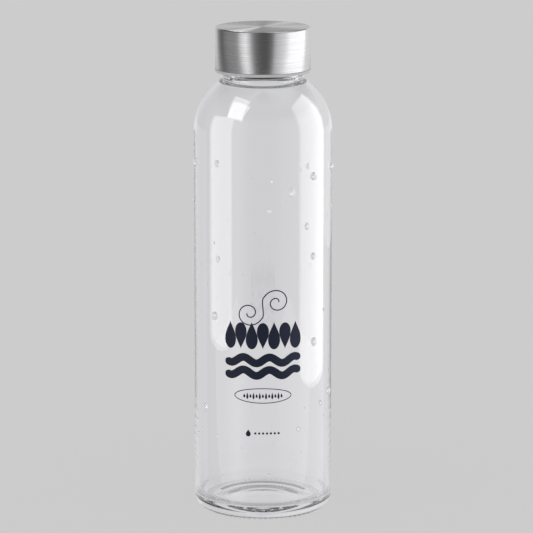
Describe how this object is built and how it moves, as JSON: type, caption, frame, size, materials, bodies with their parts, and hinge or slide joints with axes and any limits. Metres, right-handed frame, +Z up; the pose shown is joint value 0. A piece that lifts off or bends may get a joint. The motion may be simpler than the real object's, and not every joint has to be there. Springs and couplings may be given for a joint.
{
  "type": "glass water bottle",
  "caption": "Slim cylindrical glass water bottle with rounded shoulders and a brushed-steel screw cap that unscrews and lifts off.",
  "frame": {"origin": "centre of the base, on the plane that the bottle stands on", "axes": "+Z up the bottle's axis towards the cap; -Y is the printed front"},
  "size_m": [0.062, 0.062, 0.22],
  "materials": {
    "clear_glass": "gloss",
    "brushed_steel": "brushed",
    "grey_plastic": "satin",
    "silicone": "matte",
    "print_ink": "satin",
    "water": "gloss"
  },
  "bodies": {
    "bottle": {"glass_bottle": "clear_glass"},
    "seal": {"seal_gasket": "silicone"},
    "cap": {"cap_shell": "brushed_steel", "inner_cap": "grey_plastic"}
  },
  "joints": [
    {"name": "cap_rise", "type": "slide", "parent": "bottle", "child": "seal", "axis": [0, 0, 1], "range_m": [0, 0.02964]},
    {"name": "cap_turn", "type": "hinge", "parent": "seal", "child": "cap", "pos_m": [0, 0, 0.21], "axis": [0, 0, 1], "range_deg": [0, 2520]}
  ],
  "couplings": [
    {"joint": "cap_rise", "follows": "cap_turn", "m_per_rad": 0.0006737}
  ]
}
